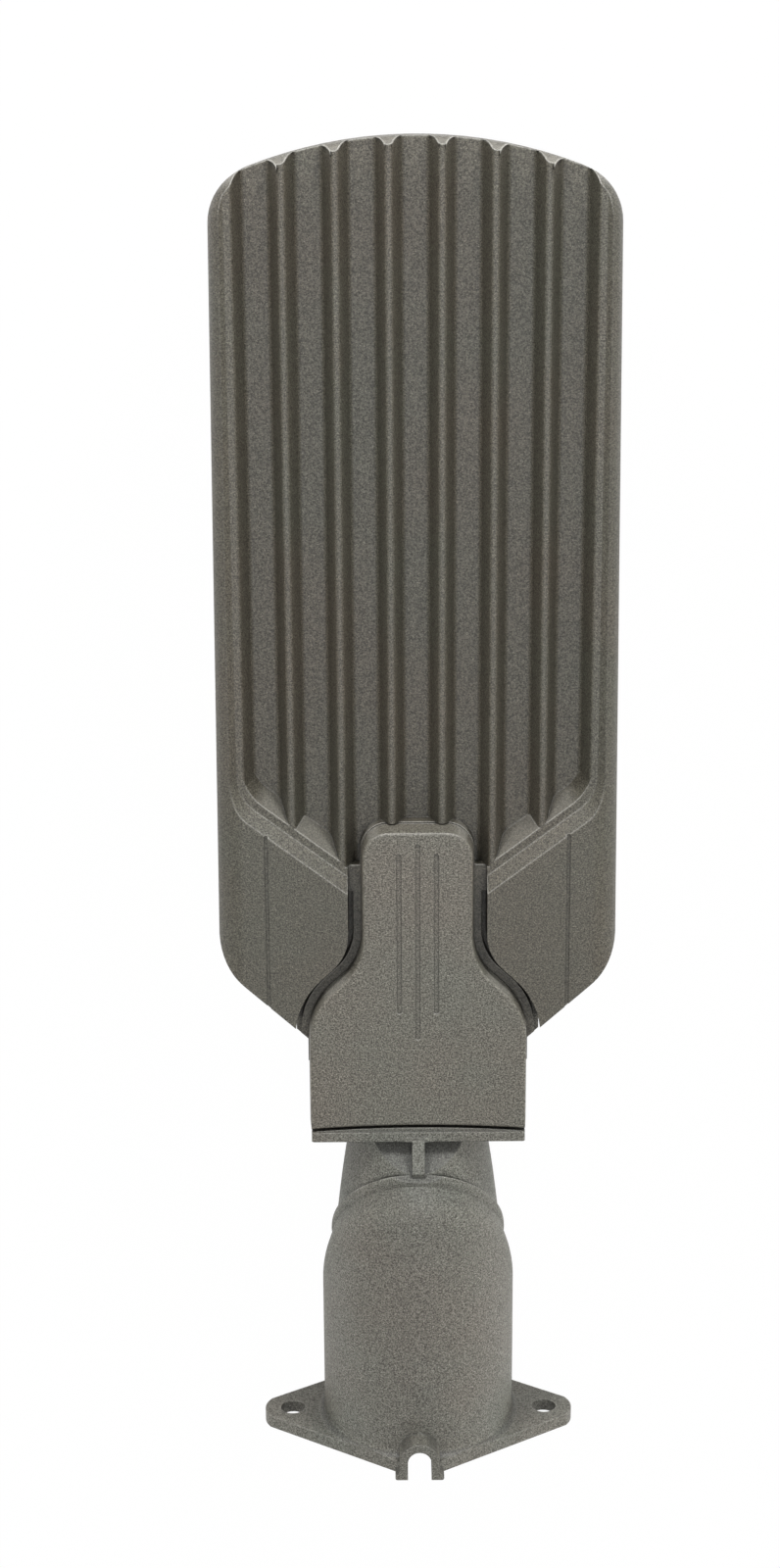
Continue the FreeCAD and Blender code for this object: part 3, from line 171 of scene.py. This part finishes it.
def powderCoat(name, shade, contrast, rim=1.0, reach=0.022, full=0.6, hidden=0.0):
    f = finishNamed(name)
    grain, fine, patch = (f.noise(*coat[kind]) for kind in ("grainNoise", "fineNoise", "patchNoise"))
    mixed = coat["grainShare"] * grain + (1 - coat["grainShare"]) * fine
    span = coat["toneSpan"] / contrast
    tone = f.ramp(mixed, 0.5 - span, 0.5 + span)
    colour = f.blend(tone, coat["pit"], coat["grain"])
    colour = f.blend(f.ramp(fine, *coat["glintFrom"]) * coat["glintShare"], colour, coat["glint"])
    tint = f.blend(f.ramp(patch, *coat["patchFrom"]), coat["green"], coat["brown"])
    colour = f.times(f.times(colour, tint), shade + (1,))

    own = f.node("ShaderNodeNewGeometry", output="Normal")
    turned = f.rounded(coat["edgeReach"])  # its lean from the face's own normal marks the edges
    lean = 1.0 - f.node("ShaderNodeVectorMath", {"operation": "DOT_PRODUCT"}, {0: turned, 1: own}, "Value")
    near = f.openness(coat["cornerReach"])
    edge = f.ramp(lean, *coat["edgeLean"]) * f.ramp(near, *coat["cornerFrom"])  # inner corners stay plain
    # Painted highlight: edges that face the nose lamps take most of the paler colour; every edge takes a
    # little of it as wear.
    edge = edge * (coat["edgeLeast"] + f.ramp(f.noseward(turned), *coat["edgeHighlightFacing"]))
    colour = f.blend(edge * (coat["edgeShare"] * (1.0 + tone)) * rim, colour, coat["wearAndHighlight"])

    # Painted shade: recesses darken by their ambient occlusion; faces that look to the nose are spared it as
    # if the nose lamps lit them, and where hidden is set, slopes leaning partly to the nose get more of it.
    ahead = f.noseward(own)
    slope = 1.0 - f.ramp(ahead, *coat["front"])
    noseLit = coat["noseLitShare"] * rim * f.ramp(ahead, *coat["noseLitFrom"])
    paintedSlopeShade = hidden * f.ramp(ahead, *coat["hiddenFrom"]) * slope
    paintedShadeMask = f.ramp(f.openness(reach) + noseLit - paintedSlopeShade, coat["paintedShadeFrom"], full)
    # Painted sheen: slopes that look to the nose are made paler, as the nose lamps' reflection would make
    # them.
    noseSheen = f.ramp(ahead, *coat["noseSheenFrom"]) * slope
    colour = f.blend(noseSheen * coat["noseSheenShare"] * rim, colour, coat["wearAndHighlight"])
    # painted shade of recesses
    colour = f.darken(colour, paintedShadeMask, coat["paintedShadeDark"])
    # painted shade along inner corners and creases
    colour = f.darken(colour, f.ramp(near, *coat["creaseShadeFrom"]), coat["creaseShadeDark"])
    f.skin(Base_Color=colour, Roughness=coat["roughness"] - coat["smoother"] * tone,
           Normal=f.bump(mixed, coat["grainDepth"], over=f.rounded(coat["edgeRound"])))
    return f.owner


# The other pieces: one colour each, with a faint grain and wider patches
plain = {"patchShare": 0.04, "from": (0.35, 0.65), "grainDetail": (3.0, 0.55), "patchDetail": (3.0, 0.5),
         "uneven": 0.12}
lens = {"haze": (140, 2.0, 0.5), "cool": (0.86, 0.89, 0.90, 1), "clear": (0.93, 0.95, 0.96, 1),
        "roughness": 0.04, "uneven": 0.06, "alpha": 0.38}


def plainFinish(name, colour, roughness, metallic=0.0, grainScale=900, depth=0.00003, spread=0.12):
    f = finishNamed(name)
    grain = f.noise(grainScale, *plain["grainDetail"])
    patch = f.noise(grainScale * plain["patchShare"], *plain["patchDetail"])
    dark = tuple(c * (1 - spread) for c in colour) + (1,)
    light = tuple(min(1.0, c * (1 + spread)) for c in colour) + (1,)
    f.skin(Base_Color=f.blend(f.ramp(0.5 * grain + 0.5 * patch, *plain["from"]), dark, light),
           Roughness=roughness + plain["uneven"] * (grain - 0.5), Metallic=metallic,
           Normal=f.bump(grain, depth))
    return f.owner


def clearLens(name):
    f = finishNamed(name)
    haze = f.noise(*lens["haze"])
    f.skin(Base_Color=f.blend(haze, lens["cool"], lens["clear"]),
           Roughness=lens["roughness"] + lens["uneven"] * haze, Alpha=lens["alpha"])
    return f.owner


coated = {name: powderCoat(name, **values) for name, values in coats.items()}
finishes = {  # by the material slots of the record
    "powder_coat": coated["powderCoat"],
    "seal_rubber": plainFinish("sealRubber", (0.030, 0.030, 0.030), 0.75),
    "screw_steel": plainFinish("screwSteel", (0.56, 0.56, 0.54), 0.32, 1.0, 1200),
    "board_face": plainFinish("boardFace", (0.80, 0.81, 0.79), 0.45, spread=0.04),
    "chip": plainFinish("phosphor", (0.80, 0.62, 0.12), 0.4, spread=0.05),
    "lens_clear": clearLens("lensClear"),
    "pad_grey": plainFinish("thermalPad", (0.22, 0.25, 0.28), 0.8),
    "driver_case": plainFinish("driverCase", (0.62, 0.62, 0.61), 0.4, 0.9, 700),
    "surge_case": plainFinish("surgeCase", (0.03, 0.05, 0.10), 0.5),
    "terminal_case": plainFinish("terminalCase", (0.62, 0.62, 0.57), 0.5, spread=0.05),
    "terminal_brass": plainFinish("terminalBrass", (0.60, 0.42, 0.16), 0.32, 1.0),
    "trim_plastic": plainFinish("trimPlastic", (0.022, 0.022, 0.022), 0.5, grainScale=1100),
}
slotOf = {s["node"]: s["material_slot"] for s in frame["record"]["subparts"]}
print("finishes made")


# The castings: merged copies with crisp edges, which stand for their solids
castings = {"housing": "powderCoatHead", "gear_cover": "powderCoatCover", "pole_bracket": "powderCoat"}
casting = {"merge": 0.000004, "smoothDegrees": 28}


def castingSkin(node, finishName):
    mesh = frame["nodes"][node].data.copy()
    work = bmesh.new()
    work.from_mesh(mesh)
    bmesh.ops.remove_doubles(work, verts=work.verts, dist=casting["merge"])
    work.to_mesh(mesh)
    work.free()
    if "custom_normal" in mesh.attributes:  # the loaded normals would spoil the new ones
        mesh.attributes.remove(mesh.attributes["custom_normal"])
    mesh.shade_smooth()
    mesh.set_sharp_from_angle(angle=math.radians(casting["smoothDegrees"]))
    mesh.materials.clear()
    mesh.materials.append(coated[finishName])
    skin = bpy.data.objects.new(node + "Skin", mesh)
    bpy.context.scene.collection.objects.link(skin)
    even = skin.modifiers.new("evenNormals", "WEIGHTED_NORMAL")  # flat faces stay flat, fillets take the turn
    even.mode, even.weight, even.keep_sharp = "FACE_AREA", 100, True
    skin.data = bpy.data.meshes.new_from_object(skin.evaluated_get(bpy.context.evaluated_depsgraph_get()))
    skin.modifiers.clear()
    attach(skin, "root")
    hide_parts(node)


for node, finishName in castings.items():
    castingSkin(node, finishName)
print("castings dressed")


# What repeats: a small piece set at the place of each of a CAD node's own solids
repeat = {"merge": 0.00001, "seed": 11, "sides": 24, "smoothDegrees": 35}


def looseSolids(node):  # the low and high corner of each solid
    work = bmesh.new()
    work.from_mesh(frame["nodes"][node].data)
    bmesh.ops.remove_doubles(work, verts=work.verts, dist=repeat["merge"])
    boxes, seen = [], set()
    for first in work.verts:
        if first in seen:
            continue
        seen.add(first)
        queue, points = [first], []
        while queue:
            vert = queue.pop()
            points.append(vert.co.copy())
            for edge in vert.link_edges:
                other = edge.other_vert(vert)
                if other not in seen:
                    seen.add(other)
                    queue.append(other)
        boxes.append(tuple(Vector([side(p[axis] for p in points) for axis in range(3)])
                           for side in (min, max)))
    work.free()
    return boxes


def placesTree():
    tree = bpy.data.node_groups.new("piecesAtPlaces", "GeometryNodeTree")
    kinds = {"Places": "Geometry", "Piece": "Object", "Turn": "Float", "Seed": "Int", "Finish": "Material"}
    for name, kind in kinds.items():
        tree.interface.new_socket(name=name, in_out="INPUT", socket_type="NodeSocket" + kind)
    tree.interface.new_socket(name="Result", in_out="OUTPUT", socket_type="NodeSocketGeometry")
    f = Grower(tree)
    given = {name: f.node("NodeGroupInput", output=name) for name in kinds}
    piece = f.node("GeometryNodeObjectInfo", {}, {"Object": given["Piece"], "As Instance": True}, "Geometry")
    low = f.node("ShaderNodeCombineXYZ", {}, {"Z": given["Turn"] * -1.0})
    high = f.node("ShaderNodeCombineXYZ", {}, {"Z": given["Turn"]})
    turned = f.node("FunctionNodeRandomValue", {"data_type": "FLOAT_VECTOR"},
                    {"Min": low, "Max": high, "Seed": given["Seed"]})
    placed = f.node("GeometryNodeInstanceOnPoints", {},
                    {"Points": given["Places"], "Instance": piece, "Rotation": turned})
    real = f.node("GeometryNodeRealizeInstances", {}, {"Geometry": placed})
    painted = f.node("GeometryNodeSetMaterial", {}, {"Geometry": real, "Material": given["Finish"]})
    f.node("NodeGroupOutput", {}, {"Result": painted}, None)
    return tree


def setAtPlaces(name, places, piece, finish, node, turn=0.0):  # turn: the most that a copy is turned
    mesh = bpy.data.meshes.new(name)
    mesh.from_pydata(places, [], [])
    thing = bpy.data.objects.new(name, mesh)
    bpy.context.scene.collection.objects.link(thing)
    grow = thing.modifiers.new("places", "NODES")
    grow.node_group = repeated
    values = {"Piece": piece, "Turn": turn, "Seed": repeat["seed"], "Finish": finish}
    for socket in repeated.interface.items_tree:
        if socket.in_out == "INPUT" and socket.name in values:
            grow[socket.identifier] = values[socket.name]
    made = bpy.data.meshes.new_from_object(thing.evaluated_get(bpy.context.evaluated_depsgraph_get()))
    thing.modifiers.clear()
    thing.data = made
    bpy.data.objects.remove(piece)
    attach(thing, "root")
    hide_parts(node)


def ring(radius, height, corners=0):  # a circle, or a polygon with its points on the same spokes
    points = []
    for k in range(repeat["sides"]):
        angle = math.tau * k / repeat["sides"]
        reach = radius
        if corners:
            half = math.pi / corners
            reach = radius / math.cos((angle + half) % (2 * half) - half)
        points.append((reach * math.cos(angle), reach * math.sin(angle), height))
    return points


def turnedPiece(name, rings, smoothDegrees=repeat["smoothDegrees"]):
    work = bmesh.new()
    loops = [[work.verts.new(p) for p in points] for points in rings]
    for lower, upper in zip(loops, loops[1:]):
        for k in range(len(lower)):
            work.faces.new((lower[k - 1], lower[k], upper[k], upper[k - 1]))
    work.faces.new(loops[0])
    work.faces.new(loops[-1])
    bmesh.ops.recalc_face_normals(work, faces=work.faces)
    mesh = bpy.data.meshes.new(name)
    work.to_mesh(mesh)
    work.free()
    mesh.shade_smooth()
    mesh.set_sharp_from_angle(angle=math.radians(smoothDegrees))
    piece = bpy.data.objects.new(name, mesh)
    bpy.context.scene.collection.objects.link(piece)
    return piece


# Light sources: a square ceramic base with a round phosphor window and its lens
chip = {"edge": 0.0001, "base": 0.0006, "dome": 0.0014, "domeSteps": 5, "domeArc": 0.96 * math.pi / 2,
        "domeSmooth": 60}


def dressChips():
    boxes = looseSolids("led_chips")
    low, high = boxes[0]
    half, rise = (high.x - low.x) / 2, high.z - low.z - chip["base"]
    places = [((a.x + b.x) / 2, (a.y + b.y) / 2, b.z) for a, b in boxes]
    edge, foot = chip["edge"], -chip["base"]
    square = [ring(half - edge, 0.0, 4), ring(half, -edge, 4), ring(half, foot + edge, 4),
              ring(half - edge, foot, 4)]
    arcs = [chip["domeArc"] * k / chip["domeSteps"] for k in range(chip["domeSteps"] + 1)]
    dome = [ring(chip["dome"] * math.cos(arc), foot - rise * math.sin(arc)) for arc in arcs]
    setAtPlaces("chipBases", places, turnedPiece("chipBase", square), finishes["board_face"],
                "led_chips")
    setAtPlaces("chipDomes", places, turnedPiece("chipDome", dome, chip["domeSmooth"]), finishes["chip"],
                "led_chips")


# Screws with a hexagonal socket and a rolled thread, heads down
screws = {"cover_screws": {"shank": 0.0020, "head": 0.0026, "pitch": 0.0007},
          "lens_screws": {"shank": 0.0015, "head": 0.0018, "pitch": 0.0005}}
screwForm = {"lip": 0.12, "socket": 0.62, "socketDepth": 0.6, "threadDepth": 0.55, "point": 0.7}


def dressScrews(node, sizes):
    boxes = looseSolids(node)
    low, high = boxes[0]
    headR, length = (high.x - low.x) / 2, high.z - low.z
    r, head, pitch = sizes["shank"], sizes["head"], sizes["pitch"]
    lip, socket = headR * screwForm["lip"], r * screwForm["socket"]
    rings = [ring(socket, head * screwForm["socketDepth"], 6), ring(socket, 0.0, 6),
             ring(headR - lip, 0.0), ring(headR, lip), ring(headR, head), ring(r, head)]
    z = head + pitch
    while z < length - pitch:
        rings += [ring(r, z), ring(r - pitch * screwForm["threadDepth"], z + pitch / 2)]
        z += pitch
    rings.append(ring(r * screwForm["point"], length))
    places = [((a.x + b.x) / 2, (a.y + b.y) / 2, a.z) for a, b in boxes]
    setAtPlaces(node + "Threaded", places, turnedPiece(node + "Piece", rings), finishes["screw_steel"],
                node, math.pi)


repeated = placesTree()
dressChips()
for node, sizes in screws.items():
    dressScrews(node, sizes)
remade = set(castings) | set(screws) | {"led_chips"}
for node, thing in frame["nodes"].items():
    if node not in remade:
        for place in thing.material_slots:
            place.link = "OBJECT"
            place.material = finishes[slotOf[node]]
print("light sources, screws and inner pieces dressed")


# Camera, from the photograph's own perspective
view = {"lean": 16.3, "roll": 0.35, "axisPoint": (-0.0092, 0.248), "distance": 0.8517, "lens": 56.25,
        "sensorHeight": 36.0, "clip": (0.01, 20.0)}


def addCamera():
    lean, roll = math.radians(view["lean"]), math.radians(view["roll"])
    x, y = view["axisPoint"]
    back = Vector((0, math.sin(lean), math.cos(lean)))
    up, right = Vector((0, math.cos(lean), -math.sin(lean))), Vector((1, 0, 0))
    tiltedUp = up * math.cos(roll) + right * math.sin(roll)
    tiltedRight = right * math.cos(roll) - up * math.sin(roll)
    data = bpy.data.cameras.new("camera")
    data.sensor_fit, data.sensor_height, data.lens = "VERTICAL", view["sensorHeight"], view["lens"]
    data.clip_start, data.clip_end = view["clip"]
    camera = bpy.data.objects.new("camera", data)
    turn = Matrix((tiltedRight, tiltedUp, back)).transposed().to_4x4()
    camera.matrix_world = Matrix.Translation(Vector((x, y, 0)) + back * view["distance"]) @ turn
    bpy.context.scene.collection.objects.link(camera)
    bpy.context.scene.camera = camera


# Soft studio light: a broad lamp overhead, two low ones past the nose and one low at each side
studio = {"lamps": {"over": ((0.06, 0.36, 1.5), 0.7, 8.9), "noseRight": ((0.50, 1.40, 0.50), 0.35, 13.5),
                    "noseLeft": ((-0.45, 1.40, 0.50), 0.35, 11.5), "left": ((-0.62, -0.15, 0.02), 0.3, 2.7),
                    "right": ((0.62, -0.15, 0.04), 0.3, 4.0)},
          "dull": ("left", "right"), "worldLevel": 0.18, "aim": (0.0, 0.22, 0.0)}
floor = {"gap": 0.0006, "half": 6, "white": 0.99, "noise": (30, 3.0, 0.5), "roughness": 0.9,
         "dark": (0.80, 0.80, 0.80, 1), "light": (0.84, 0.84, 0.84, 1)}


def addLamp(name, at, size, watts):
    data = bpy.data.lights.new(name, "AREA")
    data.shape, data.size, data.energy = "DISK", size, watts
    lamp = bpy.data.objects.new(name, data)
    lamp.location = at
    lamp.visible_glossy = name not in studio["dull"]  # the side lamps lighten the sleeve without a streak
    lamp.rotation_euler = (Vector(studio["aim"]) - Vector(at)).to_track_quat("-Z", "Y").to_euler()
    bpy.context.scene.collection.objects.link(lamp)


def addWorld():  # white for the camera and for what is mirrored, dim as a light
    world = bpy.context.scene.world or bpy.data.worlds.new("world")
    bpy.context.scene.world = world
    f = Finish(world)
    seen, *others = (f.node("ShaderNodeLightPath", output="Is %s Ray" % kind)
                     for kind in ("Camera", "Glossy", "Transmission"))
    for other in others:
        seen = seen.maths("MAXIMUM", other)
    sky = f.tree.nodes["Background"]
    sky.inputs["Color"].default_value = (1, 1, 1, 1)
    level = seen * (1 - studio["worldLevel"]) + studio["worldLevel"]
    f.tree.links.new(level.socket, sky.inputs["Strength"])


def addFloor():
    low, half = cadBox[0][2] - floor["gap"], floor["half"]
    mesh = bpy.data.meshes.new("floor")
    mesh.from_pydata([(x * half, y * half, low) for x, y in ((-1, -1), (1, -1), (1, 1), (-1, 1))], [],
                     [(0, 1, 2, 3)])
    sheet = bpy.data.objects.new("floor", mesh)
    bpy.context.scene.collection.objects.link(sheet)
    f = finishNamed("floorWhite")
    f.skin(Base_Color=f.blend(f.noise(*floor["noise"]), floor["dark"], floor["light"]),
           Roughness=floor["roughness"])
    matte = Wire(f, f.tree.nodes["Principled BSDF"].outputs[0])
    glow = f.node("ShaderNodeEmission", {}, {"Color": (1, 1, 1, 1), "Strength": 1.0})
    seen = f.node("ShaderNodeLightPath", output="Is Camera Ray")
    mixed = f.node("ShaderNodeMixShader", {}, {0: seen * floor["white"], 1: matte, 2: glow})
    below = f.node("ShaderNodeNewGeometry", output="Backfacing")  # seen from under it, the floor is clear
    clear = f.node("ShaderNodeMixShader", {}, {0: below, 1: mixed, 2: f.node("ShaderNodeBsdfTransparent")})
    f.tree.links.new(clear.socket, f.tree.nodes["Material Output"].inputs["Surface"])
    mesh.materials.append(f.owner)


addCamera()
for name, (at, size, watts) in studio["lamps"].items():
    addLamp(name, at, size, watts)
addWorld()
addFloor()
bpy.context.scene.view_settings.view_transform = "Standard"
print("camera, light and floor set")
